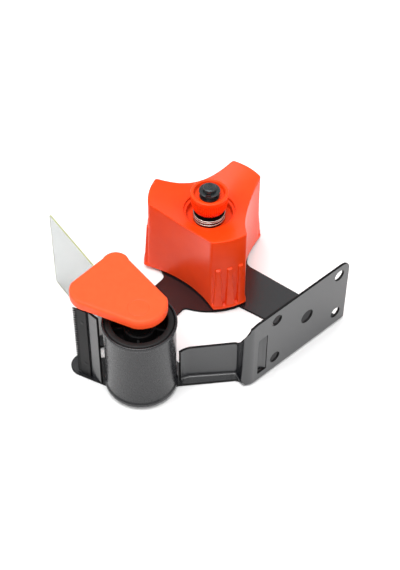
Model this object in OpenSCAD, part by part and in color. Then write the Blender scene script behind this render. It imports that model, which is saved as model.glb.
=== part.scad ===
// Hand-held packing-tape dispenser without its grip: a pressed steel frame that lies on its side
// plate, a three-lobed roll hub with a spring brake, a tape roller, a toothed blade, a plastic edge
// guard and a clear wiper flap.
// +Z is up through the hub axis, +X runs from the hub to the grip flange, +Y runs along the flange.
// The origin is the hub axis at the underside of the side plate. All sizes are in millimetres.

/* [Frame] */
// Thickness of the steel sheet
sheet_t = 1.5; // [1.5:0.1:1.8]
// Height of the grip flange above the ground
flange_h = 51.2; // [50:0.1:54]
// Height of the low stiffening wall between roller and flange
wall_h = 28.2; // [26:0.1:32]
// Distance from hub axis to the outer face of the grip flange
flange_x = 87.3; // [86.5:0.1:88.5]

/* [Grip holes] */
// Radius of the four corner holes
grip_hole_r = 3.5; // [3:0.1:4]
// Hole spacing along the flange
grip_hole_dy = 51; // [48:0.5:52]
// Hole spacing up the flange
grip_hole_dz = 32.5; // [30:0.5:33]
// Radius of the middle hole
grip_centre_r = 4.5; // [3.5:0.1:5]

/* [Roll hub] */
// Radius of the lobe tips, a close fit in a 76 mm cardboard core
hub_r = 37; // [36:0.1:37.5]
// Radius of the lip that stops the core
hub_lip_r = 40.6; // [39.5:0.1:41]
// Height of the lobe tips
hub_top = 58; // [56:0.5:58]
// Half angle that one lobe tip spans
lobe_half = 17.8; // [15:0.1:20]
// Direction of the first lobe
lobe_turn = -23.4; // [-60:0.1:60]

/* [Brake] */
// Radius of the threaded stud
stud_r = 4; // [4:0.01:4.02]
// Height of the stud
stud_top = 67.9; // [67:0.1:69]
// Wire diameter of the brake spring
spring_wire = 0.9; // [0.8:0.05:1.0]
// Outer radius of the brake spring
spring_r = 9.9; // [9.5:0.1:10.2]
// Radius of the knob at its rim
knob_r = 11.5; // [11:0.1:12]

/* [Tape roller] */
// Radius of the raised rims of the roller
roller_r = 21.3; // [20.8:0.1:21.5]
// Length of the roller
roller_len = 51.7; // [50:0.1:52]

/* [Edge guard] */
// Height of the guard's top
guard_top = 65; // [64.5:0.1:66]
// Depth of the guard's rim
guard_t = 6; // [5.5:0.1:6]

/* [Blade] */
// Distance between two teeth
tooth_pitch = 2; // [1.8:0.05:2.6]
// Depth of a tooth
tooth_depth = 3; // [1.8:0.1:3.2]

/* [Wiper flap] */
// Height of the wiper sheet's upper edge
wiper_top = 58.7; // [56:0.1:58.7]
// Thickness of the wiper sheet
wiper_t = 1; // [0.6:0.1:1]

/* [Hidden] */
$fn = 72;
eps = 0.01;
run_fit = 0.05;             // radial clearance of a turning part on its shaft
steel = "#4b4c50";
black = "#2e2f33";
orange = "#ff5a2c";
zinc = "#a9adb0";

// Side plate: corner points of the outline and of the window, each [x, y, corner radius].
plate_outline = [
    [3.95, -120.24, 8.3], [58, -99.5, 14], [58, -80.75, 10], [79.2, -51.2, 4],
    [flange_x, -48.2, 2.5], [flange_x, 27.8, 3], [17, 16.9, 6], [10, 25.5, 12], [-24, 24, 18],
    [-24, -24, 14], [-9.9, -27.8, 5]
];
roller_at = [42, -92];      // where the roller's axis stands on the plate
window_r = 39.5;            // the window's edge runs round the hub at this radius
window_near_hub = [for (a = [-62 : 6 : -14]) window_r * [cos(a), sin(a)]];
window_outline = [
    [21.8, -66, 5], [16.9, -36.2, 3],
    each [for (p = window_near_hub) [p.x, p.y, 0]],
    [40, -9.6, 1.5], [77.5, -0.3, 5], [77.5, -43, 3], [75.0, -45.6, 1], [57.3, -68.6, 4]
];

// Wall and grip flange: the line that the middle of the bent sheet follows in plan.
flange_mid = flange_x - sheet_t / 2;
flange_end = 31;            // the flange's far end along Y
wall_line = [
    [56.4, -75.2], [56.6, -72.8], [57.9, -69.6], [75.2, -46.8], [flange_mid, -50.8],
    [flange_mid, flange_end]
];
wall_bend_r = 3.5;
wall_start_h = 26.2;         // height of the wall beside the roller
step_x = 75.4;              // the upper edge starts to rise here
step_low_h = 47.2;          // and reaches this height where the flange starts
flange_top_r = 6.5;         // rounding of the flange's two far corners
flange_low_r = 5;
tool_hole = [10.6, -95.3];  // round hole in the plate between blade and roller
tool_hole_r = 4.3;
slot_y = [-42.1, -35.6];    // the lanced tongue in the flange
slot_z = [6.7, 36];
grip_hole_mid = [-2.9, 27.25];

// Blade wall: the line that its middle follows in plan, and the blade on its outer face.
blade_line = [[28.2, -110.3], [20, -110.7], [14.4, -112.6]];
blade_wall_top = 58;
blade_dir = unit(blade_line[2] - blade_line[1]);
blade_t = 0.9;
blade_w = 6.3;
tooth_count = floor((blade_wall_top - sheet_t) / tooth_pitch);
blade_rivet_z = [12, 48];
blade_rivet_x = 3.2;
blade_rivet_r = 1.5;

// Wiper sheet: a straight line in plan from its free end to the clamp.
wiper_free = [-53.3, -79.4];
wiper_dir = unit([46.1, -6.8]);
wiper_len = 66;             // whole length of the sheet
wiper_free_len = 51;        // the part that bends
wiper_low = 0.6;
clamp_len = 12;
clamp_t = 1.2;
wiper_rivet_z = [14, 46];
wiper_rivet_r = 1.6;
rivet_head_r = 2.8;
rivet_head_t = 0.9;

// Roll hub
hub_low = 3;
dish_r = 16.8;              // the dished top ends at this radius
dish_z = 49.1;
well_r = 14.2;
ledge_r = 15.8;             // a shallow step round the well
ledge_z = 47;
well_floor = 42.8;
hub_wall = 2.2;
side_sag = 4.4;             // how far the hub's sides curve in from straight
side_half_chord = hub_r * sin(60 - lobe_half);
side_r = (side_half_chord * side_half_chord + side_sag * side_sag) / (2 * side_sag);
side_at = hub_r * cos(60 - lobe_half) - side_sag + side_r;
rib_top = 34.5;
boss_r = 8.5;
bush_r = 6;

// Brake, from the well floor up
seat_t = 0.5;
spring_low = well_floor + seat_t;
spring_high = 48;
spring_turns = 3.2;
washer_t = 0.6;
cup_r = 8.2;                // the pressure washer's raised middle, inside the knob's foot
cup_h = 2.2;
knob_low = spring_high + washer_t + cup_h;
knob_top = 63.7;
knob_low_r = 8.6;
knob_recess = 3.2;
clip_z = 64.6;
clip_t = 0.7;
clip_r = 6.4;
clip_groove_r = 3.2;
edge_r = 0.6;               // small chamfer on stud and knob

// Roller
roller_low = 2.5;
roller_body_r = roller_r - 0.8;
rim_h = 2.2;
sleeve_in = 19.8;
core_in = 15.9;
axle_r = 4;
bush_out = 6.5;
core_boss_r = 9;
core_boss_top = 49.8;

// Edge guard: circles that its outline runs round, each [[x, y], radius].
guard_corners = [[[13.1, -101.9], 12.5], [[39.5, -88.3], 15], [[6.5, -78.8], 8]];
guard_wall = 2;
guard_boss_r = 6.5;
guard_boss_low = 58.5;      // foot of the socket on the axle
axle_top = guard_top - 2.5;

function unit(v) = v / norm(v);
function side(v) = [-v.y, v.x];

// Points of a rounded corner at p between its neighbours a and b.
function corner(a, p, b, r, n = 8) =
    r < eps ? [[p.x, p.y]] :
    let (
        u = unit([a.x - p.x, a.y - p.y]),
        v = unit([b.x - p.x, b.y - p.y]),
        half = acos(u * v) / 2,
        c = [p.x, p.y] + unit(u + v) * r / sin(half),
        s = [p.x, p.y] + u * r / tan(half) - c,
        turn = sign(cross(s, [p.x, p.y] + v * r / tan(half) - c)) * (180 - 2 * half)
    )
    [for (i = [0 : n]) let (t = turn * i / n) c + [s.x * cos(t) - s.y * sin(t), s.x * sin(t) + s.y * cos(t)]];

// Closed outline from corner points [x, y, radius].
function outline(c) =
    [for (i = [0 : len(c) - 1])
        each corner(c[(i + len(c) - 1) % len(c)], c[i], c[(i + 1) % len(c)], c[i][2])];

// Open line with the same radius at each inner corner.
function rounded_line(p, r) =
    [p[0], each [for (i = [1 : len(p) - 2]) each corner(p[i - 1], p[i], p[i + 1], r)], p[len(p) - 1]];

// The line moved sideways by d, to its left.
function beside(p, d) =
    [for (i = [0 : len(p) - 1])
        let (
            before = unit(p[max(i, 1)] - p[max(i, 1) - 1]),
            after = unit(p[min(i + 1, len(p) - 1)] - p[min(i + 1, len(p) - 1) - 1]),
            m = unit(side(before) + side(after))
        )
        p[i] + m * d / (m * side(after))];

// Sheet of thickness t that follows a line.
function band(p, t) =
    let (left = beside(p, t / 2), right = beside(p, -t / 2))
    concat(left, [for (i = [len(right) - 1 : -1 : 0]) right[i]]);

// Convex outline round circles [[x, y], r] that are listed anticlockwise.
function belt(c) =
    [for (i = [0 : len(c) - 1])
        let (
            m = len(c),
            before = tangent_angle(c[(i + m - 1) % m], c[i]),
            after = tangent_angle(c[i], c[(i + 1) % m]),
            turn = (after - before + 720) % 360
        )
        for (k = [0 : 12]) c[i][0] + c[i][1] * [cos(before + turn * k / 12), sin(before + turn * k / 12)]];
function tangent_angle(a, b) =
    let (d = b[0] - a[0])
    atan2(d.y, d.x) - 90 + asin((b[1] - a[1]) / norm(d));

module tube(r_out, r_in, low, high) {
    translate([0, 0, low])
        difference() {
            cylinder(r = r_out, h = high - low);
            translate([0, 0, -1])
                cylinder(r = r_in, h = high - low + 2);
        }
}

module at_roller() {
    translate([roller_at.x, roller_at.y, 0])
        children();
}

module side_plate() {
    color(steel)
        difference() {
            linear_extrude(sheet_t)
                difference() {
                    polygon(outline(plate_outline));
                    polygon(outline(window_outline));
                }
            translate([0, 0, -1])
                cylinder(r = stud_r, h = sheet_t + 2);
            at_roller()
                translate([0, 0, -1])
                    cylinder(r = axle_r, h = sheet_t + 2);
            translate([tool_hole.x, tool_hole.y, -1])
                cylinder(r = tool_hole_r, h = sheet_t + 2);
        }
}

// The low wall, its outward step and the tall flange are one bent strip. Its top edge is cut by three
// profiles: level along the wall, rising across the step, and level with a rounded end on the flange.
module flange_blank() {
    above = flange_h + 7;
    difference() {
        translate([0, 0, sheet_t])
            linear_extrude(flange_h - sheet_t)
                polygon(band(rounded_line(wall_line, wall_bend_r), sheet_t));
        translate([50, -80, 0])
            rotate([90, 0, 90])
                linear_extrude(step_x + 0.1 - 50)
                    polygon([
                        [-5, above], [-5, wall_start_h], [10, wall_h], [40, wall_h + 0.2], [40, above]
                    ]);
        translate([step_x, -40, 0])
            rotate([90, 0, 0])
                linear_extrude(20)
                    polygon([
                        [0, wall_h], [3, 32], [8.2, 42.2], [10.2, step_low_h], [10.2, above], [0, above]
                    ]);
        translate([step_x + 10.1, 0, 0])
            rotate([90, 0, 90])
                linear_extrude(4)
                    polygon([
                        [-60, step_low_h - 0.4], [-51, step_low_h], [-49, flange_h - 2.2],
                        [-46.5, flange_h - 0.7], [-43.5, flange_h],
                        [-43.5, above], [-60, above]
                    ]);
        flange_corner(flange_h - flange_top_r, flange_top_r, 0);
        flange_corner(0, flange_low_r, flange_low_r);
    }
}

// What is cut off a far corner of the flange: a square less a circle whose centre is centre_up above it.
module flange_corner(low, r, centre_up) {
    translate([flange_mid - 2, flange_end - r, low])
        rotate([90, 0, 90])
            linear_extrude(4)
                difference() {
                    translate([0, centre_up > 0 ? -1 : 0])
                        square([r + 1, r + 1]);
                    translate([0, centre_up])
                        circle(r = r);
                }
}

module handle_flange() {
    color(steel) {
        difference() {
            flange_blank();
            for (dy = [-1, 1], dz = [-1, 1])
                translate([0, dy * grip_hole_dy / 2, dz * grip_hole_dz / 2])
                    translate([flange_mid, grip_hole_mid.x, grip_hole_mid.y])
                        rotate([0, 90, 0])
                            cylinder(r = grip_hole_r, h = 6, center = true);
            translate([flange_mid, grip_hole_mid.x, grip_hole_mid.y])
                rotate([0, 90, 0])
                    cylinder(r = grip_centre_r, h = 6, center = true);
            translate([flange_mid - 3, slot_y[0], slot_z[0]])
                cube([6, slot_y[1] - slot_y[0], slot_z[1] - slot_z[0]]);
        }
        // tongue of the lanced slot, pushed in at its free edge
        translate([0, 0, slot_z[0] + 0.3])
            linear_extrude(slot_z[1] - slot_z[0] - 0.6)
                polygon([
                    [flange_x, slot_y[1]], [flange_x - sheet_t, slot_y[1]],
                    [flange_x - sheet_t - 1.6, slot_y[1] - 2.2], [flange_x - sheet_t - 1.9, slot_y[0] + 0.4],
                    [flange_x - 1.9, slot_y[0] + 0.4], [flange_x - 1.6, slot_y[1] - 2.2]
                ]);
    }
}

// Places a piece on the outer face of the blade wall: its x runs to the teeth, its y out of the wall.
module on_blade() {
    translate([blade_line[1].x, blade_line[1].y, 0])
        rotate(atan2(blade_dir.y, blade_dir.x))
            translate([0, sheet_t / 2, 0])
                children();
}

// Places a piece at each blade rivet, with its z pointing into the wall.
module blade_rivet_places() {
    for (z = blade_rivet_z)
        on_blade()
            translate([blade_rivet_x, 0, z])
                rotate([90, 0, 0])
                    children();
}

module blade_wall() {
    color(steel)
        difference() {
            translate([0, 0, sheet_t])
                linear_extrude(blade_wall_top - sheet_t)
                    polygon(band(rounded_line(blade_line, 3), sheet_t));
            blade_rivet_places()
                cylinder(r = blade_rivet_r, h = 8, center = true);
        }
}

module blade() {
    color("#35363a")
        difference() {
            on_blade()
                rotate([-90, 0, 0])
                    translate([0, -sheet_t, 0])
                        linear_extrude(blade_t)
                            polygon([
                                [0.4, 0], [0.4, -(blade_wall_top - sheet_t)],
                                each [for (i = [0 : tooth_count - 1]) each [
                                    [blade_w, -(tooth_count - i) * tooth_pitch],
                                    [blade_w + tooth_depth, -(tooth_count - i - 0.5) * tooth_pitch]
                                ]],
                                [blade_w, 0]
                            ]);
            blade_rivet_places()
                cylinder(r = blade_rivet_r, h = 8, center = true);
        }
}

module blade_rivets() {
    color(black)
        blade_rivet_places() {
            translate([0, 0, -blade_t])
                cylinder(r = blade_rivet_r, h = blade_t + sheet_t);
            translate([0, 0, sheet_t])
                cylinder(r = 2.6, h = 0.9);
        }
}

// Places a piece along the wiper sheet: its x runs from the free end to the clamp, its y to the hub.
module on_wiper() {
    translate([wiper_free.x, wiper_free.y, 0])
        rotate(atan2(wiper_dir.y, wiper_dir.x))
            children();
}

module wiper_rivet_places() {
    for (z = wiper_rivet_z)
        on_wiper()
            translate([wiper_len - 6, 0, z])
                rotate([90, 0, 0])
                    children();
}

module wiper_bracket() {
    color(steel)
        difference() {
            on_wiper()
                translate([wiper_len - clamp_len - 1, -wiper_t / 2 - clamp_t, sheet_t])
                    cube([clamp_len + 1, clamp_t, 55]);
            wiper_rivet_places()
                cylinder(r = wiper_rivet_r, h = 10, center = true);
        }
}

module wiper_root() {
    color("#dfe3c8", 0.6)
        difference() {
            on_wiper()
                translate([wiper_free_len, -wiper_t / 2, sheet_t + 0.5])
                    cube([wiper_len - wiper_free_len, wiper_t, wiper_top - sheet_t - 0.5]);
            wiper_rivet_places()
                cylinder(r = wiper_rivet_r, h = 10, center = true);
        }
}

module wiper_clamp() {
    color(black)
        difference() {
            on_wiper()
                translate([wiper_len - clamp_len, wiper_t / 2, 5])
                    cube([clamp_len - 1, clamp_t, 50]);
            wiper_rivet_places()
                cylinder(r = wiper_rivet_r, h = 10, center = true);
        }
}

module wiper_rivets() {
    color(zinc)
        wiper_rivet_places() {
            cylinder(r = wiper_rivet_r, h = wiper_t + 2 * clamp_t, center = true);
            translate([0, 0, wiper_t / 2 + clamp_t])
                cylinder(r = rivet_head_r, h = rivet_head_t);
            translate([0, 0, -wiper_t / 2 - clamp_t - rivet_head_t])
                cylinder(r = rivet_head_r, h = rivet_head_t);
        }
}

module wiper_flap() {
    color("#dfe3c8", 0.6)
        on_wiper()
            translate([0, -wiper_t / 2, wiper_low])
                cube([wiper_free_len - 0.3, wiper_t, wiper_top - wiper_low]);
}

function guard_shrunk(d) = belt([for (c = guard_corners) [c[0], c[1] - d]]);

// Moulded cap with a rounded top edge, open underneath, with a socket on the roller axle.
module edge_guard() {
    color(orange)
        difference() {
            union() {
                translate([0, 0, guard_top - guard_t])
                    linear_extrude(guard_t - 1.5)
                        polygon(guard_shrunk(0));
                for (step = [[1.5, 0.3], [1.0, 0.75], [0.5, 1.4]])
                    translate([0, 0, guard_top - step[0] - eps])
                        linear_extrude(0.5 + eps)
                            polygon(guard_shrunk(step[1]));
                at_roller()
                    translate([0, 0, guard_boss_low])
                        cylinder(r = guard_boss_r, h = guard_top - guard_boss_low - 1);
            }
            difference() {
                translate([0, 0, guard_top - guard_t - 1])
                    linear_extrude(guard_t - 1)
                        polygon(guard_shrunk(guard_wall));
                at_roller()
                    cylinder(r = guard_boss_r, h = guard_top);
            }
            at_roller()
                cylinder(r = axle_r, h = axle_top);
        }
}

module roller_axle() {
    color(black)
        at_roller() {
            cylinder(r = axle_r, h = axle_top);
            translate([0, 0, sheet_t])
                cylinder(r = 6, h = 0.5);
        }
}

module roller_washers() {
    color(black)
        at_roller() {
            tube(7.5, axle_r + run_fit, sheet_t + 0.55, sheet_t + 0.95);
            tube(7.5, axle_r + run_fit, core_boss_top + 0.3, core_boss_top + 1.0);
        }
}

module roller_bushes() {
    color("#d9d6c8")
        at_roller()
            for (low = [roller_low + 0.3, core_boss_top - 12])
                tube(bush_out, axle_r + run_fit, low, low + 12);
}

// Drum with two webs and a long boss for the two bushes.
module roller_core() {
    color(black)
        at_roller() {
            difference() {
                tube(sleeve_in, core_in, roller_low, roller_low + roller_len);
                translate([0, 0, roller_low + roller_len - 0.9])
                    rotate_extrude()
                        polygon([
                            [sleeve_in - 0.9, 1], [sleeve_in + 1, 1], [sleeve_in + 1, -0.8], [sleeve_in, 0]
                        ]);
            }
            tube(core_boss_r, bush_out, roller_low + 0.3, core_boss_top);
            for (low = [roller_low + 0.3, 40])
                tube(core_in + 0.2, core_boss_r - 0.2, low, low + 2.5);
        }
}

module roller_sleeve() {
    color(black)
        at_roller()
            rotate_extrude()
                polygon([
                    [sleeve_in, roller_low], [roller_r - 0.6, roller_low], [roller_r, roller_low + 0.6],
                    [roller_r, roller_low + rim_h], [roller_body_r, roller_low + rim_h + 1],
                    [roller_body_r, roller_low + roller_len - rim_h - 1],
                    [roller_r, roller_low + roller_len - rim_h], [roller_r, roller_low + roller_len - 0.6],
                    [roller_r - 0.6, roller_low + roller_len], [sleeve_in + 0.5, roller_low + roller_len],
                    [sleeve_in, roller_low + roller_len - 0.9]
                ]);
}

// Stud riveted into the side plate, with a collar that lifts the hub and a groove for the clip.
module hub_stud() {
    color(black)
        difference() {
            union() {
                cylinder(r = stud_r, h = stud_top - edge_r);
                translate([0, 0, stud_top - edge_r])
                    cylinder(r1 = stud_r, r2 = stud_r - edge_r, h = edge_r);
                translate([0, 0, sheet_t])
                    cylinder(r = 9, h = 0.9);
            }
            tube(stud_r + 1, clip_groove_r, clip_z, clip_z + clip_t);
        }
}

module friction_washer() {
    color("#7a4a34")
        tube(12, stud_r + run_fit, sheet_t + 0.95, hub_low - 0.05);
}

// Plan of the hub: a disc cut back by three large circles between the lobes.
module hub_plan(r, grow) {
    difference() {
        circle(r = r);
        for (k = [0 : 2])
            rotate(lobe_turn + 60 + 120 * k)
                translate([side_at, 0])
                    circle(r = side_r + grow, $fn = 180);
    }
}

// One core-gripping rib: a wedge that grows outwards and sideways towards the lip.
module grip_rib() {
    intersection() {
        rotate([90, 0, 0])
            linear_extrude(20, center = true)
                polygon([
                    [hub_r - 1.6, hub_low + 0.5], [hub_lip_r - 0.4, hub_low + 0.5],
                    [hub_r + 0.9, rib_top], [hub_r - 1.6, rib_top]
                ]);
        translate([hub_r - 10, 0, 0])
            rotate([90, 0, 90])
                linear_extrude(20)
                    polygon([[-2.6, hub_low], [2.6, hub_low], [1.3, rib_top], [-1.3, rib_top]]);
    }
}

// Hollow under the hub, closed by its dished top and by the brake well.
module hub_hollow() {
    difference() {
        intersection() {
            linear_extrude(hub_top)
                hub_plan(hub_r - hub_wall, hub_wall);
            rotate_extrude()
                polygon([
                    [0, 0], [hub_r, 0], [hub_r, hub_top - 2.5], [dish_r - 0.6, dish_z - 2.9],
                    [dish_r - 0.6, well_floor - 2], [0, well_floor - 2]
                ]);
        }
        cylinder(r = boss_r, h = hub_top);
        for (k = [0 : 2])
            rotate(lobe_turn + 60 + 120 * k)
                translate([0, -0.9, 0])
                    cube([hub_r, 1.8, hub_top]);
    }
}

module roll_hub() {
    color(orange)
        difference() {
            union() {
                intersection() {
                    translate([0, 0, hub_low])
                        linear_extrude(hub_top - hub_low)
                            hub_plan(hub_r + 4, 0);
                    rotate_extrude()
                        polygon([
                            [0, hub_low], [hub_lip_r, hub_low], [hub_lip_r, hub_low + 1.2],
                            [hub_r + 1, hub_low + 2.4], [hub_r, rib_top + 1.5], [hub_r, hub_top - 1],
                            [hub_r - 1, hub_top - 0.2], [dish_r, dish_z], [ledge_r, dish_z - 0.3],
                            [ledge_r, ledge_z], [well_r, ledge_z - 0.4], [well_r, well_floor],
                            [0, well_floor]
                        ]);
                }
                for (k = [0 : 2], side_turn = [-11, 0, 11])
                    rotate(lobe_turn + 120 * k + side_turn)
                        grip_rib();
            }
            hub_hollow();
            cylinder(r = bush_r, h = hub_top);
        }
}

module hub_bush() {
    color("#b8925a")
        tube(bush_r, stud_r + run_fit, hub_low, well_floor);
}

module spring_seat() {
    color(black)
        tube(spring_r - 0.1, stud_r + run_fit, well_floor, spring_low);
}

// Wire of the spring: rings of points round a helix whose first and last turns lie flat.
spring_mid = spring_r - spring_wire / 2;
spring_steps = 88;
wire_sides = 8;
spring_rise = spring_high - spring_low - spring_wire - 2 * eps;
function spring_z(turns) = min(max((turns - 0.3) / (spring_turns - 0.6), 0), 1) * spring_rise;
function wire_ring(i) =
    let (turns = spring_turns * i / spring_steps, a = 360 * turns)
    [for (k = [0 : wire_sides - 1])
        let (
            b = 360 * (k + 0.5) / wire_sides,
            r = spring_mid + spring_wire / 2 * cos(b)
        )
        [
            r * cos(a), r * sin(a),
            spring_low + eps + spring_wire / 2 + spring_z(turns) + spring_wire / 2 * sin(b)
        ]];

module brake_spring() {
    color(zinc)
        polyhedron(
            points = [for (i = [0 : spring_steps]) each wire_ring(i)],
            faces = [
                [for (k = [0 : wire_sides - 1]) k],
                for (i = [0 : spring_steps - 1], k = [0 : wire_sides - 1]) let (
                    m = wire_sides,
                    a = i * m + k,
                    b = i * m + (k + 1) % m
                ) [a, a + m, b + m, b],
                [for (k = [wire_sides - 1 : -1 : 0]) spring_steps * wire_sides + k]
            ]
        );
}

// Washer that the knob presses on the spring, with a raised middle under the knob.
module pressure_washer() {
    color(black) {
        tube(spring_r - 0.4, stud_r + 0.5, spring_high, spring_high + washer_t);
        tube(cup_r, stud_r + 0.5, spring_high, knob_low);
    }
}

// Knob: a cup that widens upwards from a rounded foot, with a moulded-in threaded insert.
module brake_knob() {
    color(orange)
        rotate_extrude()
            polygon([
                [bush_r, knob_low], [knob_low_r, knob_low], [knob_low_r + 1, knob_low + 0.5],
                [knob_r - 1.1, knob_low + 2.2], [knob_r - 0.4, knob_low + 4.7],
                [knob_r, knob_top - edge_r], [knob_r - edge_r, knob_top], [knob_r - 1.9, knob_top],
                [knob_r - 2.4, knob_top - knob_recess], [bush_r, knob_top - knob_recess]
            ]);
}

module knob_insert() {
    color(black)
        tube(bush_r, stud_r + run_fit, knob_low, knob_top - 2.4);
}

module retaining_clip() {
    color(black)
        difference() {
            tube(clip_r, clip_groove_r, clip_z, clip_z + clip_t);
            translate([-8, -1.6, clip_z - 1])
                cube([8, 3.2, 3]);
        }
}

side_plate();
handle_flange();
blade_wall();
blade();
blade_rivets();
wiper_bracket();
wiper_root();
wiper_clamp();
wiper_rivets();
wiper_flap();
edge_guard();
roller_axle();
roller_washers();
roller_bushes();
roller_core();
roller_sleeve();
hub_stud();
friction_washer();
roll_hub();
hub_bush();
spring_seat();
brake_spring();
pressure_washer();
brake_knob();
knob_insert();
retaining_clip();
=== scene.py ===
"""Looks of a hand-held packing-tape dispenser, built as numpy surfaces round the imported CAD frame."""
import logging
import math
from collections.abc import Callable, Iterable, Sequence
from dataclasses import dataclass, field
from enum import Enum

import bmesh
import bpy
import numpy as np
from mathutils import Matrix, Vector
from mathutils.geometry import delaunay_2d_cdt


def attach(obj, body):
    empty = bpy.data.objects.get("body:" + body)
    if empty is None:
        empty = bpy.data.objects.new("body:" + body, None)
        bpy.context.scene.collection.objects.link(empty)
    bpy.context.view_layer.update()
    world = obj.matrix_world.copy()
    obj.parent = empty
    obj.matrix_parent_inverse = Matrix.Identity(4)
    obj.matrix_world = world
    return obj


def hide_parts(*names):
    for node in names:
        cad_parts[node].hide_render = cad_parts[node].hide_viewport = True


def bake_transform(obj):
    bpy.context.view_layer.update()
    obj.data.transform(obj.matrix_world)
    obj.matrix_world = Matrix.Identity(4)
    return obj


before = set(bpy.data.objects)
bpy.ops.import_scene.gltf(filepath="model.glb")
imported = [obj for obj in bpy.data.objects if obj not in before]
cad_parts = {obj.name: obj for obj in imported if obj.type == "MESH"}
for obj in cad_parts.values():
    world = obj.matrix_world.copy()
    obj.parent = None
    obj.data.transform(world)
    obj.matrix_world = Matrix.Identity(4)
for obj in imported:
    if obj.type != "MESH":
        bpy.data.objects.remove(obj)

LOG = logging.getLogger("tape_dispenser")
MM = 0.001
MERGE_MM = 0.001
SHARP_DEG = 40.0
HEAD_STEPS = 48
UP = np.array([0.0, 0.0, 1.0])
Change = Callable[[np.ndarray], np.ndarray]


# ---------------------------------------------------------------- surfaces

@dataclass
class Skin:
    """A surface in millimetres: points, faces of four or of three and a -1, their patches and finishes."""

    points: np.ndarray
    faces: np.ndarray
    patch: np.ndarray
    finish: np.ndarray

    @staticmethod
    def of(points: np.ndarray, faces: np.ndarray, patch: int = 0, finish: int = 0) -> "Skin":
        """Makes a skin whose faces are all one patch. Shading breaks only where patches meet.

        Args:
            points: rows of x, y, z in millimetres.
            faces: rows of three or four point numbers.
            patch: number of the patch.
            finish: number of the material slot.

        Returns:
            The skin.
        """
        wide = faces if faces.shape[1] == 4 else np.hstack([faces, np.full((len(faces), 1), -1)])
        return Skin(points, wide, np.full(len(faces), patch), np.full(len(faces), finish))

    def moved(self, change: Change) -> "Skin":
        """Returns the skin with its points passed through a function of an array of points."""
        return Skin(change(self.points), self.faces, self.patch, self.finish)


def joined(skins: list[Skin]) -> Skin:
    """Puts several skins into one, with their point numbers moved on.

    Args:
        skins: the skins to join.

    Returns:
        One skin that holds them all.
    """
    starts = np.cumsum([0] + [len(s.points) for s in skins[:-1]])
    faces = [np.where(s.faces < 0, -1, s.faces + start) for s, start in zip(skins, starts)]
    return Skin(
        np.vstack([s.points for s in skins]), np.vstack(faces),
        np.hstack([s.patch for s in skins]), np.hstack([s.finish for s in skins]),
    )


def grid(points: np.ndarray, loop_rows: bool = False, loop_columns: bool = False, finish: int = 0) -> Skin:
    """Joins a grid of points with quads: each point to the next in its row and in its column.

    Args:
        points: array of rows by columns by 3.
        loop_rows: True if the last row joins the first.
        loop_columns: True if the last column joins the first.
        finish: number of the material slot.

    Returns:
        The skin of the grid.
    """
    rows, columns = points.shape[:2]
    i = np.arange(rows if loop_rows else rows - 1)[:, None]
    j = np.arange(columns if loop_columns else columns - 1)[None, :]
    i2, j2 = (i + 1) % rows, (j + 1) % columns
    quads = np.stack([i * columns + j, i * columns + j2, i2 * columns + j2, i2 * columns + j], axis=-1)
    return Skin.of(points.reshape(-1, 3), quads.reshape(-1, 4), finish=finish)


def circle(
    centre: tuple[float, float], radius: float, steps: int = 48, clockwise: bool = False,
) -> np.ndarray:
    """Points round a circle: centre plus radius times the cosine and sine of the angle."""
    a = np.linspace(0, 2 * math.pi, steps, endpoint=False) * (-1 if clockwise else 1)
    return np.array(centre) + radius * np.stack([np.cos(a), np.sin(a)], axis=-1)


def rounded(corners: list[tuple[float, float, float]], steps: int = 8) -> np.ndarray:
    """Rounds every corner of a closed outline with an arc that touches both of its sides.

    The arc's centre lies on the corner's bisector, radius over the sine of half the corner's angle
    away, and the arc turns from the foot on one side to the foot on the other.

    Args:
        corners: x, y and radius of each corner.
        steps: pieces in each arc.

    Returns:
        The points of the outline.
    """
    c = np.array(corners, float)
    p, r = c[:, :2], np.maximum(c[:, 2], 0.02)
    to_last, to_next = np.roll(p, 1, 0) - p, np.roll(p, -1, 0) - p
    u = to_last / np.linalg.norm(to_last, axis=1)[:, None]
    v = to_next / np.linalg.norm(to_next, axis=1)[:, None]
    half = np.arccos(np.clip((u * v).sum(1), -1, 1)) / 2
    bisector = (u + v) / np.linalg.norm(u + v, axis=1)[:, None]
    centre = p + bisector * (r / np.sin(half))[:, None]
    start = p + u * (r / np.tan(half))[:, None] - centre
    finish = p + v * (r / np.tan(half))[:, None] - centre
    side = np.where(start[:, 0] * finish[:, 1] > start[:, 1] * finish[:, 0], 1, -1)
    turn = side * (math.pi - 2 * half)
    t = turn[:, None] * np.linspace(0, 1, steps + 1)[None, :]
    x = start[:, :1] * np.cos(t) - start[:, 1:] * np.sin(t)
    y = start[:, :1] * np.sin(t) + start[:, 1:] * np.cos(t)
    return (centre[:, None, :] + np.stack([x, y], axis=-1)).reshape(-1, 2)


def without_repeats(loop: np.ndarray) -> np.ndarray:
    """Leaves out each point of a closed loop that lies on the one before it."""
    return loop[np.linalg.norm(loop - np.roll(loop, 1, 0), axis=1) > 0.003]


def inset(loop: np.ndarray, depth: float) -> np.ndarray:
    """Moves a closed loop to its left by depth, each point along the mitre of its two sides."""
    before = loop - np.roll(loop, 1, 0)
    after = np.roll(loop, -1, 0) - loop
    sides = (before, after)
    left = [np.stack([-d[:, 1], d[:, 0]], -1) / np.linalg.norm(d, axis=1)[:, None] for d in sides]
    mitre = left[0] + left[1]
    mitre /= np.linalg.norm(mitre, axis=1)[:, None]
    return loop + mitre * (depth / np.maximum((mitre * left[1]).sum(1), 0.3))[:, None]


def raised(flat: np.ndarray, height: float) -> np.ndarray:
    """Gives points in the plane a height."""
    return np.column_stack([flat, np.full(len(flat), height)])


def stepped(loop: np.ndarray, steps: Iterable[tuple[float, float]]) -> np.ndarray:
    """Rows of one loop, each moved in by a depth and raised to a height."""
    return np.stack([raised(inset(loop, depth), height) for depth, height in steps])


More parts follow.
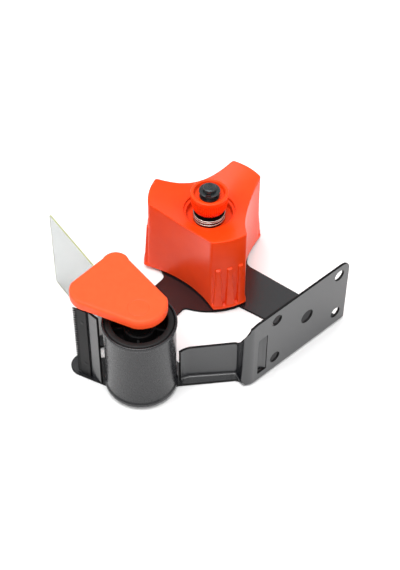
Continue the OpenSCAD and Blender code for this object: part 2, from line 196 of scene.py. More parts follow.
def inside(points: np.ndarray, loop: np.ndarray) -> np.ndarray:
    """Tells which points lie within a loop: a ray to the right crosses it an odd number of times."""
    a, b = loop[None], np.roll(loop, -1, 0)[None]
    x, y = points[:, 0, None], points[:, 1, None]
    spans = (a[..., 1] > y) != (b[..., 1] > y)
    rise = np.where(b[..., 1] == a[..., 1], 1e-12, b[..., 1] - a[..., 1])
    return (spans & (x < (b[..., 0] - a[..., 0]) * (y - a[..., 1]) / rise + a[..., 0])).sum(1) % 2 == 1


def fill(loops: list[np.ndarray], creases: np.ndarray | None = None) -> tuple[np.ndarray, np.ndarray]:
    """Fills the first loop less the others with triangles that keep every loop edge and every crease.

    Args:
        loops: the outline and then its holes.
        creases: pairs of points, as rows of x1, y1, x2, y2, that triangles may not cross.

    Returns:
        The points in the plane and the triangles.
    """
    points = np.vstack(loops)
    starts = np.cumsum([0] + [len(loop) for loop in loops[:-1]])
    counts = [np.arange(len(loop)) for loop in loops]
    edges = [np.stack([k, np.roll(k, -1)], -1) + start for k, start in zip(counts, starts)]
    if creases is not None and len(creases):
        n = len(points)
        points = np.vstack([points, creases.reshape(-1, 2)])
        edges.append(n + np.arange(2 * len(creases)).reshape(-1, 2))
    flat, _, faces, *_ = delaunay_2d_cdt([Vector(p) for p in points], np.vstack(edges).tolist(), [], 0, 1e-5)
    flat = np.array([tuple(p) for p in flat])
    faces = np.array(faces)
    middle = flat[faces].mean(1)
    keep = inside(middle, loops[0])
    for hole in loops[1:]:
        keep &= ~inside(middle, hole)
    return flat, faces[keep]


def sheet(
    outline: np.ndarray, holes: list[np.ndarray], low: float, high: float, soft: float = 0.3,
    creases: Sequence[tuple[int, int]] = (), rim_finish: int = 0,
) -> Skin:
    """A flat sheet with every edge rounded: its rim is a quarter circle, a flat and a quarter circle.

    Row by row the outline steps in by soft times one less the sine of the angle, while the height
    keeps soft times one less its cosine from the face. The two faces are filled inside the rims.

    Args:
        outline: anticlockwise outline.
        holes: clockwise holes.
        low: height of the lower face.
        high: height of the upper face.
        soft: radius of the rounded edges.
        creases: pairs of outline points that the faces' triangles keep as edges.
        rim_finish: material slot of the rims.

    Returns:
        The skin, with its thickness along z.
    """
    if not len(creases):
        outline, holes = without_repeats(outline), [without_repeats(hole) for hole in holes]
    t = np.linspace(0, math.pi / 2, 4)
    depth = np.hstack([soft * (1 - np.sin(t)), soft * (1 - np.sin(t[::-1]))])
    height = np.hstack([low + soft * (1 - np.cos(t)), high - soft * (1 - np.cos(t[::-1]))])
    skins = []
    for loop in [outline, *holes]:
        skins.append(grid(stepped(loop, zip(depth, height)), loop_columns=True, finish=rim_finish))
    rims = [inset(loop, soft) for loop in [outline, *holes]]
    lines = np.array([[*rims[0][a], *rims[0][b]] for a, b in creases]) if len(creases) else None
    flat, faces = fill(rims, lines)
    for patch, z, order in ((1, high, faces), (2, low, faces[:, ::-1])):
        skins.append(Skin.of(raised(flat, z), order, patch))
    return joined(skins)


def revolve(
    profile: np.ndarray, centre: tuple[float, float] = (0.0, 0.0), steps: int = 96,
    closed: bool = True, carve: np.ndarray | None = None,
) -> Skin:
    """Turns a profile of radius and height about an upright axis.

    Args:
        profile: rows of radius and height.
        centre: where the axis stands.
        steps: columns round the axis.
        closed: True if the profile's last point joins its first.
        carve: depth taken off the radius at each row and column.

    Returns:
        The skin: x and y are radius times cosine and sine of the angle, z is the height.
    """
    a = np.linspace(0, 2 * math.pi, steps, endpoint=False)[None, :]
    radius = profile[:, :1] - (0 if carve is None else carve)
    points = np.stack([
        centre[0] + radius * np.cos(a), centre[1] + radius * np.sin(a),
        np.broadcast_to(profile[:, 1:2], (len(profile), steps)),
    ], axis=-1)
    return grid(points, loop_rows=closed, loop_columns=True)


def sweep(path: np.ndarray, across: np.ndarray, up: np.ndarray, section: np.ndarray) -> Skin:
    """Carries a closed section along a path and draws both ends together to a point.

    Each ring is the path's point plus the section's first number times across and its second times
    up; the end rings are followed by rings of no size, which become the poles.

    Args:
        path: points along the path.
        across: direction of the section's first number at each point.
        up: direction of its second number.
        section: rows of two numbers round the section.

    Returns:
        The closed skin.
    """
    rings = path[:, None] + section[None, :, :1] * across[:, None] + section[None, :, 1:] * up[:, None]
    ends = [np.repeat(p[None, None], len(section), 1) for p in (path[0], path[-1])]
    return grid(np.concatenate([ends[0], rings, ends[1]]), loop_columns=True)


def section_box(wide: float, high: float, soft: float) -> np.ndarray:
    """A rectangle round the origin, with rounded corners."""
    w, h = wide / 2, high / 2
    return rounded([(-w, -h, soft), (w, -h, soft), (w, h, soft), (-w, h, soft)], 3)


def smooth_step(x: np.ndarray) -> np.ndarray:
    """Rises from 0 to 1 as x does, as three squares less two cubes."""
    t = np.clip(x, 0, 1)
    return t * t * (3 - 2 * t)


def place(origin: Sequence[float], x_axis: np.ndarray, y_axis: np.ndarray) -> Change:
    """Returns a function that puts points given along two axes and their cross product at an origin."""
    frame_axes = np.stack([x_axis, y_axis, np.cross(x_axis, y_axis)])
    return lambda points: np.array(origin) + points @ frame_axes


def stand(foot: tuple[float, float], along: np.ndarray, out: np.ndarray, lift: float = 0.0) -> Change:
    """Returns a function that stands points on a foot, from distance along, height and offset plus lift."""
    base = np.array([*foot, 0.0])
    return lambda p: base + p[:, :1] * along + p[:, 1:2] * UP + (p[:, 2:] + lift) * out


def spoke_axes(angle: float) -> tuple[np.ndarray, np.ndarray]:
    """Directions outwards at an angle and square to it."""
    c, s = math.cos(angle), math.sin(angle)
    return np.array([c, s, 0]), np.array([-s, c, 0])


def rivet_head(profile: np.ndarray, point: np.ndarray, x_axis: np.ndarray, y_axis: np.ndarray) -> Skin:
    """A rivet's head: its profile turned about the cross product of two axes at a point."""
    return revolve(profile, steps=HEAD_STEPS, closed=False).moved(place(point, x_axis, y_axis))


# ---------------------------------------------------------------- finishes

def linear(hex_colour: str) -> tuple[float, float, float, float]:
    """Turns an sRGB hex colour into linear light, the form that a shader wants."""
    s = np.array([int(hex_colour[i:i + 2], 16) for i in (1, 3, 5)]) / 255
    value = np.where(s <= 0.04045, s / 12.92, ((s + 0.055) / 1.055) ** 2.4)
    return (*value.tolist(), 1.0)


def add_node(
    tree: bpy.types.NodeTree, kind: str, settings: dict | None = None, links: dict | None = None,
    **fields: object,
) -> bpy.types.Node:
    """Adds a node, sets its fields and sockets and links what feeds it.

    Args:
        tree: the material's node tree.
        kind: Blender's name for the node.
        settings: value of each input socket.
        links: output socket that feeds each input socket.
        **fields: attributes of the node itself.

    Returns:
        The node.
    """
    node = tree.nodes.new(kind)
    for key, value in fields.items():
        setattr(node, key, value)
    for key, value in (settings or {}).items():
        node.inputs[key].default_value = value
    for key, source in (links or {}).items():
        tree.links.new(source, node.inputs[key])
    return node


class Texture(Enum):
    """How a surface was made, which decides the pattern that its finish carries."""

    SPRAYED = "fine orange peel of a sprayed coat"
    MOULDED = "soft unevenness of moulded plastic"
    TURNED = "fine rings left by a lathe"
    DRAWN = "faint streaks along drawn or rolled metal"


STRETCH = {Texture.TURNED: (1, 1, 12), Texture.DRAWN: (0.12, 0.12, 1)}


@dataclass(frozen=True)
class Finish:
    """A material: its colours, gloss and the pattern that its making leaves, with sizes in millimetres."""

    name: str
    colour: str
    deep: str
    roughness: tuple[float, float]
    texture: Texture
    grain: float
    relief: float
    metallic: float = 0.0
    ior: float = 1.5
    coat: float = 0.0
    transmission: float = 0.0
    subsurface: float = 0.0

    def material(self) -> bpy.types.Material:
        """Builds the material once and returns it after that.

        A broad noise in object space mixes the two colours. A finer one moves the roughness between its
        two ends, and gives the bump where the finish has relief. Turned and drawn metal stretch both.
        """
        found = bpy.data.materials.get(self.name)
        if found:
            return found
        made = bpy.data.materials.new(self.name)
        made.use_nodes = True
        tree = made.node_tree
        tree.nodes.clear()
        place_node = add_node(tree, "ShaderNodeTexCoord")
        mapped = add_node(
            tree, "ShaderNodeMapping", {"Scale": STRETCH.get(self.texture, (1, 1, 1))},
            {"Vector": place_node.outputs["Object"]},
        )
        cloud = add_node(
            tree, "ShaderNodeTexNoise",
            {"Scale": 1 / (8 * self.grain * MM), "Detail": 3.0, "Roughness": 0.55},
            {"Vector": mapped.outputs["Vector"]},
        )
        fine = add_node(
            tree, "ShaderNodeTexNoise", {"Scale": 1 / (self.grain * MM), "Detail": 2.0, "Roughness": 0.5},
            {"Vector": mapped.outputs["Vector"]},
        )
        colour = add_node(
            tree, "ShaderNodeMixRGB", {"Color1": linear(self.deep), "Color2": linear(self.colour)},
        )
        spread = add_node(
            tree, "ShaderNodeMapRange", {"From Min": 0.3, "From Max": 0.7}, {"Value": cloud.outputs["Fac"]},
        )
        tree.links.new(spread.outputs["Result"], colour.inputs["Fac"])
        gloss = add_node(
            tree, "ShaderNodeMapRange",
            {"From Min": 0.3, "From Max": 0.7, "To Min": self.roughness[0], "To Max": self.roughness[1]},
            {"Value": fine.outputs["Fac"]},
        )
        shader = add_node(
            tree, "ShaderNodeBsdfPrincipled",
            {"Metallic": self.metallic, "IOR": self.ior, "Coat Weight": self.coat, "Coat Roughness": 0.08,
             "Transmission Weight": self.transmission, "Subsurface Weight": self.subsurface},
            {"Base Color": colour.outputs["Color"], "Roughness": gloss.outputs["Result"]},
        )
        if self.relief:
            bump = add_node(
                tree, "ShaderNodeBump", {"Strength": 1.0, "Distance": self.relief * MM},
                {"Height": fine.outputs["Fac"]},
            )
            tree.links.new(bump.outputs["Normal"], shader.inputs["Normal"])
        add_node(tree, "ShaderNodeOutputMaterial", links={"Surface": shader.outputs["BSDF"]})
        return made


# Cold-rolled steel with a sprayed and baked black coat: nearly black, and mirrors light as a soft blue grey.
BLACK_COAT = Finish(
    "baked_black_coat", "#15161A", "#111215", (0.20, 0.27), Texture.SPRAYED, 0.5, 0.0, ior=1.78,
)
# The same coat on the sheared edges, drawn black and dull with hardly a gleam, as painted shade.
EDGE_PAINTED_SHADE = Finish(
    "edge_coat_painted_shade", "#0B0B0C", "#080809", (0.45, 0.55), Texture.SPRAYED, 0.5, 0.0, ior=1.25,
)
# Blackened spring steel: darker and drier than the coat.
BLUED_STEEL = Finish(
    "blackened_spring_steel", "#0E0E0F", "#0A0A0B", (0.38, 0.46), Texture.DRAWN, 0.3, 0.0, ior=1.28,
)
# Zinc plate: pale, slightly milky metal.
ZINC = Finish("zinc_plated_steel", "#B9BCBE", "#A3A7AA", (0.28, 0.40), Texture.DRAWN, 0.4, 0.0005, 1.0)
# Bright spring wire: polished by drawing, with clear highlights.
BRIGHT_WIRE = Finish(
    "bright_spring_wire", "#D9D2C8", "#BDB6AC", (0.14, 0.22), Texture.DRAWN, 0.4, 0.0002, 1.0,
)
# Black oxide over turned steel: a deep grey with a low sheen and clear edges.
BLACK_OXIDE = Finish(
    "black_oxide_steel", "#4E5355", "#373C3E", (0.24, 0.36), Texture.TURNED, 0.35, 0.0004, 0.8,
)
# Steel painted near black as shade, for parts deep in the well and the drum, where no light reaches.
SHADE_BLACK_STEEL = Finish(
    "steel_painted_shade_black", "#0C0C0C", "#080808", (0.35, 0.45), Texture.TURNED, 0.35, 0.0, ior=1.3,
)
# Polycarbonate sheet: clear, with a faint grey body and glossy faces.
CLEAR_FACE = Finish("clear_polycarbonate", "#C3C7C6", "#BFC3C2", (0.10, 0.15), Texture.MOULDED, 4.0, 0.0,
                    ior=1.25, transmission=0.8)
# The cut edge of the same sheet gathers light and shows its green-yellow tint.
CLEAR_EDGE = Finish("polycarbonate_cut_edge", "#B7BB86", "#A3A876", (0.30, 0.45), Texture.DRAWN, 0.4, 0.0005,
                    transmission=0.25)
# Glossy ABS from a polished mould: saturated orange red with soft reflections.
GLOSS_ABS = Finish(
    "gloss_orange_abs", "#F2430E", "#EE3E0B", (0.28, 0.34), Texture.MOULDED, 1.2, 0.0, ior=1.32,
)
# Satin ABS from a lightly textured mould: the same orange, lighter because it scatters more.
SATIN_ABS = Finish(
    "satin_orange_abs", "#F4501E", "#F04C1A", (0.48, 0.56), Texture.MOULDED, 0.5, 0.0, ior=1.38,
)
# Nylon for the drum: black with a dull gloss, darkened further as painted shade inside the drum.
NYLON_DARKENED_AS_SHADE = Finish("black_nylon_darkened_as_shade", "#0E0E0F", "#0B0B0C", (0.42, 0.52), Texture.MOULDED, 0.6, 0.0, ior=1.35)
# The drum's cover: smooth black plastic, satin, mirrors what stands beside it a little.
COVER = Finish("satin_black_cover", "#19191C", "#151518", (0.24, 0.30), Texture.MOULDED, 0.8, 0.0, ior=1.5)
# Acetal bushes: milky off-white.
ACETAL = Finish("natural_acetal", "#DAD7CA", "#D0CCBD", (0.35, 0.45), Texture.MOULDED, 0.6, 0.0005)
# Turned brass, warm and bright.
BRASS = Finish("turned_brass", "#C4A25C", "#AD8A48", (0.22, 0.34), Texture.TURNED, 0.3, 0.0005, 1.0)
# Vulcanised fibre: a dull red-brown washer board.
FIBRE = Finish("vulcanised_fibre", "#7B4A36", "#66392A", (0.65, 0.80), Texture.MOULDED, 0.4, 0.0020)

# The roller's axle and washers, the spring seat and the pressure washer wear the painted shade black.
CAD_FINISHES = {
    "roller_axle": SHADE_BLACK_STEEL, "roller_washers": SHADE_BLACK_STEEL, "roller_bushes": ACETAL,
    "friction_washer": FIBRE,
    "hub_bush": BRASS, "spring_seat": SHADE_BLACK_STEEL, "pressure_washer": SHADE_BLACK_STEEL, "knob_insert": BLACK_OXIDE,
}


def break_between_patches(mesh: bpy.types.Mesh) -> None:
    """Marks an edge sharp where its two faces are of different patches, and drops the patch numbers.

    Args:
        mesh: the mesh, whose faces carry their patch as an attribute.
    """
    faces, loops = len(mesh.polygons), len(mesh.loops)
    patch, sizes = np.zeros(faces, np.int32), np.zeros(faces, np.int32)
    edge_of = np.zeros(loops, np.int32)
    mesh.attributes["patch"].data.foreach_get("value", patch)
    mesh.polygons.foreach_get("loop_total", sizes)
    mesh.loops.foreach_get("edge_index", edge_of)
    of_loop = np.repeat(patch, sizes)
    lowest, highest = np.full(len(mesh.edges), 99), np.full(len(mesh.edges), -1)
    np.minimum.at(lowest, edge_of, of_loop)
    np.maximum.at(highest, edge_of, of_loop)
    sharp = np.zeros(len(mesh.edges), bool)
    mesh.edges.foreach_get("use_edge_sharp", sharp)
    mesh.edges.foreach_set("use_edge_sharp", sharp | (lowest != highest))
    mesh.attributes.remove(mesh.attributes["patch"])


def make_piece(
    name: str, skins: list[Skin], finishes: list[Finish], stands_for: list[str],
    body: str | None = None,
) -> bpy.types.Object:
    """Turns skins into one object, merges what touches, and ties it to the CAD frame.

    Args:
        name: name of the object.
        skins: the surfaces, in millimetres.
        finishes: a finish for each material slot.
        stands_for: CAD nodes that the piece replaces.
        body: the CAD body it rides on, or None for a piece that rides on none.

    Returns:
        The object, at the origin.
    """
    skin = joined(skins)
    mesh = bpy.data.meshes.new(name)
    faces = [[k for k in face if k >= 0] for face in skin.faces.tolist()]
    mesh.from_pydata((skin.points * MM).tolist(), [], faces)
    mesh.polygons.foreach_set("use_smooth", np.ones(len(skin.faces), bool))
    mesh.polygons.foreach_set("material_index", skin.finish.astype(np.int32))
    mesh.attributes.new("patch", "INT", "FACE").data.foreach_set("value", skin.patch.astype(np.int32))
    work = bmesh.new()
    work.from_mesh(mesh)
    bmesh.ops.remove_doubles(work, verts=work.verts, dist=MERGE_MM * MM)
    bmesh.ops.dissolve_degenerate(work, edges=work.edges, dist=1e-7)
    bmesh.ops.recalc_face_normals(work, faces=work.faces)
    work.to_mesh(mesh)
    open_edges = sum(1 for e in work.edges if len(e.link_faces) != 2)
    work.free()
    mesh.set_sharp_from_angle(angle=math.radians(SHARP_DEG))
    break_between_patches(mesh)
    piece = bpy.data.objects.new(name, mesh)
    bpy.context.scene.collection.objects.link(piece)
    for finish in finishes:
        mesh.materials.append(finish.material())
    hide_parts(*stands_for)
    if body:
        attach(piece, body)
    LOG.info("%s: %d faces, %d open edges", name, len(mesh.polygons), open_edges)
    LOG.info("%s stands for %s", name, ", ".join(stands_for))
    return piece


# ---------------------------------------------------------------- the frame

def bent_line(points: list[tuple[float, float]], radius: float, extra: Sequence[float] = ()) -> np.ndarray:
    """An open line whose inner corners are arcs of one radius, with more points beside each bend.

    Args:
        points: the corners of the line.
        radius: radius of the bends.
        extra: distances along the line that also get a point.

    Returns:
        The points of the line, in order.
    """
    p = np.array(points, float)
    first, last = 2 * p[0] - p[1], 2 * p[-1] - p[-2]
    corners = [(*first, 0.02), *[(*q, radius) for q in p], (*last, 0.02)]
    arcs = rounded(corners, 10).reshape(len(corners), -1, 2)[2:-2]
    line = np.vstack([p[:1], arcs.reshape(-1, 2), p[-1:]])
    run = np.hstack([0, np.cumsum(np.linalg.norm(np.diff(line, axis=0), axis=1))])
    near = 0.4
    bends = run[1:-1].reshape(len(arcs), -1)
    ends = np.hstack([bends[:, 0] - near, bends[:, -1] + near])
    every = np.sort(np.hstack([run, ends, extra]))
    every = every[np.hstack([True, np.diff(every) > 0.02])]
    return np.stack([np.interp(every, run, line[:, k]) for k in (0, 1)], -1)


@dataclass
class BentStrip:
    """An upright strip of sheet that follows a line in plan."""

    line: np.ndarray

    @property
    def run(self) -> np.ndarray:
        """Distance along the line of each of its points."""
        return np.hstack([0, np.cumsum(np.linalg.norm(np.diff(self.line, axis=0), axis=1))])

    def at(self, points: np.ndarray) -> np.ndarray:
        """Bends points given as distance along, height and offset: line point plus mitre times offset."""
        step = np.diff(self.line, axis=0)
        left = np.stack([-step[:, 1], step[:, 0]], -1) / np.linalg.norm(step, axis=1)[:, None]
        before, after = np.vstack([left[:1], left]), np.vstack([left, left[-1:]])
        mitre = before + after
        mitre /= (mitre * after).sum(1)[:, None]
        s, z, n = points.T
        run = self.run
        xy = [np.interp(s, run, self.line[:, k]) + n * np.interp(s, run, mitre[:, k]) for k in (0, 1)]
        return np.column_stack([*xy, z])


@dataclass
class PressedFrame:
    """One pressing of coated steel: the side plate, the low wall with its grip flange, and the blade wall."""

    thick: float = 1.5
    plate: list = field(default_factory=lambda: [
        (3.95, -120.24, 8.3), (58, -99.5, 14), (58, -80.75, 10), (79.2, -51.2, 4), (85.1, -48.9, 2.0),
        (85.1, 28.4, 3), (17, 16.9, 6), (10, 25.5, 12), (-24, 24, 18), (-24, -24, 14), (-9.9, -27.8, 5)])
    window: list = field(default_factory=lambda: [(21.8, -66, 5), (16.9, -36.2, 3)])
    window_arc: tuple = (39.5, -62, -14)
    window_far: list = field(default_factory=lambda: [
        (40, -9.6, 1.5), (77.5, -0.3, 5), (77.5, -43, 3), (75.0, -45.6, 1), (57.3, -68.6, 4)])
    tool_hole: tuple = (10.6, -95.3, 4.3)
    wall_line: list = field(default_factory=lambda: [
        (56.4, -75.2), (56.6, -72.8), (57.9, -69.6), (75.2, -46.8), (86.55, -50.8), (86.55, 31)])
    bend_radius: float = 3.5
    fold_radius: float = 1.9
    foot_fillet: float = 1.1
    wall_top: tuple = (26.2, 28.2)
    flange_top: float = 51.2
    blade_line: list = field(default_factory=lambda: [(28.2, -110.3), (20, -110.7), (14.4, -112.6)])
    blade_wall_top: float = 58.0
    slot: tuple = (-42.1, -35.6, 6.7, 36.0)
    flange_y: tuple = (-50.8, 31.0)
    end_radius: float = 6.5
    grip_centre: tuple = (-2.9, 27.25)
    grip_pitch: tuple = (51.0, 32.5)
    grip_hole: float = 3.5
    locating_hole: float = 4.5
    soft: float = 0.35

    def side_plate(self) -> Skin:
        """The flat plate with its window, which keeps a constant distance from the hub, and the tool hole."""
        a = np.radians(np.arange(self.window_arc[1], self.window_arc[2] + 1, 6))
        arc = self.window_arc[0] * np.stack([np.cos(a), np.sin(a)], -1)
        window = rounded([*self.window, *[(*p, 0.4) for p in arc.tolist()], *self.window_far])[::-1]
        x, y, r = self.tool_hole
        holes = [window, circle((x, y), r, clockwise=True)]
        return sheet(rounded(self.plate, 12), holes, 0, self.thick, self.soft, rim_finish=1)

    def flange_height(self, strip: BentStrip) -> np.ndarray:
        """Height of the strip's upper edge along its line: level, rising over the step, and rounded off."""
        x, y = strip.line.T
        low_end, high_end = self.wall_top
        high = self.flange_top
        along_wall = np.interp(x, [56.3, 60, 75.4], [low_end, high_end - 0.9, high_end])
        over_step = np.interp(x, [75.4, 78.4, 83.6, 85.6], [high_end, high_end + 3.8, high - 9, high - 4])
        on_flange = np.interp(y, [-51, -49, -46.5, -43.5], [high - 4, high - 2.2, high - 0.7, high])
        top = np.where(x < 75.4, along_wall, np.where((x < 85.6), over_step, on_flange))
        left, r = self.flange_y[1] - y, self.end_radius
        round_off = r - np.sqrt(np.clip(r ** 2 - np.clip(r - left, 0, r) ** 2, 0, None))
        return top - np.where((x > 86) & (left < r), round_off, 0)

    def wall_and_flange(self) -> Skin:
        """The bent strip with its grip holes and lanced slot, folded out of the plate along its foot."""
        plain = BentStrip(bent_line(self.wall_line, self.bend_radius))
        end = plain.run[-1]
        near_y, far_y = self.flange_y
        corner = end - far_y + np.array([-49, -46.5, -43.5])
        far = end - self.end_radius * (1 - np.sin(np.radians([0, 15, 30, 45, 60, 75, 84])))
        step = end - (far_y - near_y) - np.array([9.6, 7.6, 5.8, 4.0])
        extra = [*step, *corner, *far]
        strip = BentStrip(bent_line(self.wall_line, self.bend_radius, extra))
        run, top = strip.run, self.flange_height(strip)
        middle = self.fold_radius - self.thick / 2
        foot = self.fold_radius - math.pi / 2 * middle
        rows = np.hstack([np.linspace(foot, self.fold_radius, 7), self.fold_radius + 0.4])
        last = len(run) - 1
        low_end = rows[1:]
        outline = np.vstack([
            np.column_stack([run, np.full(len(run), foot)]),
            np.column_stack([np.full(len(low_end), run[-1]), low_end]),
            np.column_stack([run, top])[::-1],
            np.column_stack([np.full(len(low_end), 0.0), low_end])[::-1],
        ])
        top_of = lambda i: last + 1 + len(low_end) + (last - i)
        creases = [(i, top_of(i)) for i in range(1, last)]
        creases += [(last + 1 + k, len(outline) - 1 - k) for k in range(len(low_end))]
        flange_start = run[-1] - (far_y - near_y)
        along = lambda y: run[-1] - (far_y - y)
        (grip_y, grip_z), (pitch_y, pitch_z) = self.grip_centre, self.grip_pitch
        centres = [
            (along(grip_y + dy * pitch_y / 2), grip_z + dz * pitch_z / 2) for dy in (-1, 1) for dz in (-1, 1)
        ]
        holes = [circle(centre, self.grip_hole, clockwise=True) for centre in centres]
        holes.append(circle((along(grip_y), grip_z), self.locating_hole, clockwise=True))
        y0, y1, z0, z1 = self.slot
        slot = [(along(y0), z0, 0.8), (along(y1), z0, 0.3), (along(y1), z1, 0.3), (along(y0), z1, 0.8)]
        holes.append(rounded(slot)[::-1])
        flat = sheet(outline, holes, -self.thick / 2, self.thick / 2, self.soft, creases, rim_finish=1)

        def fold(points: np.ndarray) -> np.ndarray:
            """Folds the foot: on the flange a quarter turn into the plate, on the wall a spreading fillet."""
            s, z, n = points[:, 0], points[:, 1], -points[:, 2]
            turn = np.clip((self.fold_radius - z) / middle, 0, math.pi / 2)
            centre = self.thick / 2 - self.fold_radius
            arm = -n - centre
            folded_n = np.where(turn > 0, -(centre + arm * np.cos(turn)), n)
            folded_z = np.where(turn > 0, self.fold_radius - arm * np.sin(turn), z)
            share = np.clip((z - foot) / (self.fold_radius - foot), 0, 1)
            on_foot = self.thick - 0.1 + (self.fold_radius - self.thick + 0.1) * share
            plain_z = np.where(z < self.fold_radius, on_foot, z)
            lift = np.clip(self.foot_fillet - (plain_z - self.thick), 0, self.foot_fillet)
            spread = self.foot_fillet - np.sqrt(self.foot_fillet ** 2 - lift ** 2)
            plain_n = np.where(n < 0, n - spread, n)
            w = smooth_step((s - flange_start - 0.5) / 3.0)
            mixed_z, mixed_n = plain_z + w * (folded_z - plain_z), plain_n + w * (folded_n - plain_n)
            return strip.at(np.column_stack([s, mixed_z, mixed_n]))

        return flat.moved(fold)

    def tongue(self) -> Skin:
        """The lanced tongue: hinged on one side of its slot and pushed in at the other."""
        x, (y0, y1, z0, z1) = 87.3, self.slot
        outline = [(x - 0.15, y1 + 0.3, 0.3), (x - 1.45, y1 + 0.3, 0.3), (x - 2.9, y1 - 2.4, 1.5),
                   (x - 3.5, y0 + 0.9, 0.3), (x - 2.0, y0 + 0.9, 0.3), (x - 1.3, y1 - 2.4, 1.5)]
        return sheet(rounded(outline), [], z0 + 0.25, z1 - 0.25, 0.2)

    def blade_wall(self) -> Skin:
        """The upright wall that carries the blade."""
        line = bent_line(self.blade_line, 3.0)
        strip = BentStrip(line)
        run = strip.run
        foot = self.thick - 0.1
        outline = np.vstack([
            np.column_stack([run, np.full(len(run), foot)]),
            np.column_stack([run, np.full(len(run), self.blade_wall_top)])[::-1],
        ])
        last = len(run) - 1
        creases = [(i, 2 * last + 1 - i) for i in range(1, last)]
        wall = sheet(outline, [], -self.thick / 2, self.thick / 2, self.soft, creases, rim_finish=1)
        return wall.moved(lambda p: strip.at(p * np.array([1, 1, -1])))

    def build(self) -> bpy.types.Object:
        """Makes the whole pressing as one piece on the frame body."""
        # The sheet's rims take the second slot, painted near black as shade.
        return make_piece(
            "pressed_frame", [self.side_plate(), self.wall_and_flange(), self.tongue(), self.blade_wall()],
            [BLACK_COAT, EDGE_PAINTED_SHADE], ["side_plate", "handle_flange", "blade_wall"], "frame",
        )


# ---------------------------------------------------------------- cutting edge

@dataclass
class CuttingEdge:
    """The toothed blade on the outer face of its wall, with its two rivets."""

    start: tuple = (20.0, -110.7)
    end: tuple = (14.4, -112.6)
    wall_thick: float = 1.5
    thick: float = 0.9
    root: float = 0.4
    width: float = 6.3
    depth: float = 3.0
    pitch: float = 2.0
    low: float = 1.5
    high: float = 58.0
    rivets: tuple = (12.0, 48.0)

    def axes(self) -> tuple[np.ndarray, np.ndarray]:
        """Directions along the blade's width and out of its face."""
        d = np.array(self.end) - np.array(self.start)
        d /= np.linalg.norm(d)
        return np.array([d[0], d[1], 0]), np.array([-d[1], d[0], 0])

    def outline(self) -> np.ndarray:
        """A strip with a row of teeth on its outer side: each rises by depth and falls back in one pitch."""
        count = int((self.high - self.low) // self.pitch)
        k = np.arange(count)
        z = self.high - (count - k) * self.pitch
        tooth = np.stack([
            np.column_stack([np.full(count, self.width), z + 0.25]),
            np.column_stack([np.full(count, self.width + self.depth), z + self.pitch / 2 - 0.08]),
            np.column_stack([np.full(count, self.width + self.depth), z + self.pitch / 2 + 0.08]),
            np.column_stack([np.full(count, self.width), z + self.pitch - 0.25]),
        ], axis=1).reshape(-1, 2)
        return np.vstack([[(self.root, self.low), (self.width, self.low)], tooth, [(self.root, self.high)]])

    def build(self) -> list[bpy.types.Object]:
        """Makes the blade and its rivets on the frame body."""
        along, out = self.axes()
        half_wall = self.wall_thick / 2
        blade = sheet(self.outline(), [], 0, self.thick, 0.04).moved(stand(self.start, along, out, half_wall))
        head = np.array([(0, 1.0), (1.0, 0.93), (1.8, 0.7), (2.4, 0.35), (2.6, 0.0), (0, -0.4)])
        flush = np.array([(0, 0.12), (1.3, 0.10), (1.5, 0.0), (0, -0.3)])
        heads = []
        for z in self.rivets:
            base = np.array([*self.start, z]) + 3.2 * along
            heads.append(rivet_head(head, base - out * half_wall, along, UP))
            heads.append(rivet_head(flush, base + out * (half_wall + self.thick - 0.1), UP, along))
        return [
            make_piece("toothed_blade", [blade], [BLUED_STEEL], ["blade"], "frame"),
            make_piece("blade_rivet_heads", heads, [BLUED_STEEL], ["blade_rivets"], "frame"),
        ]


# ---------------------------------------------------------------- wiper

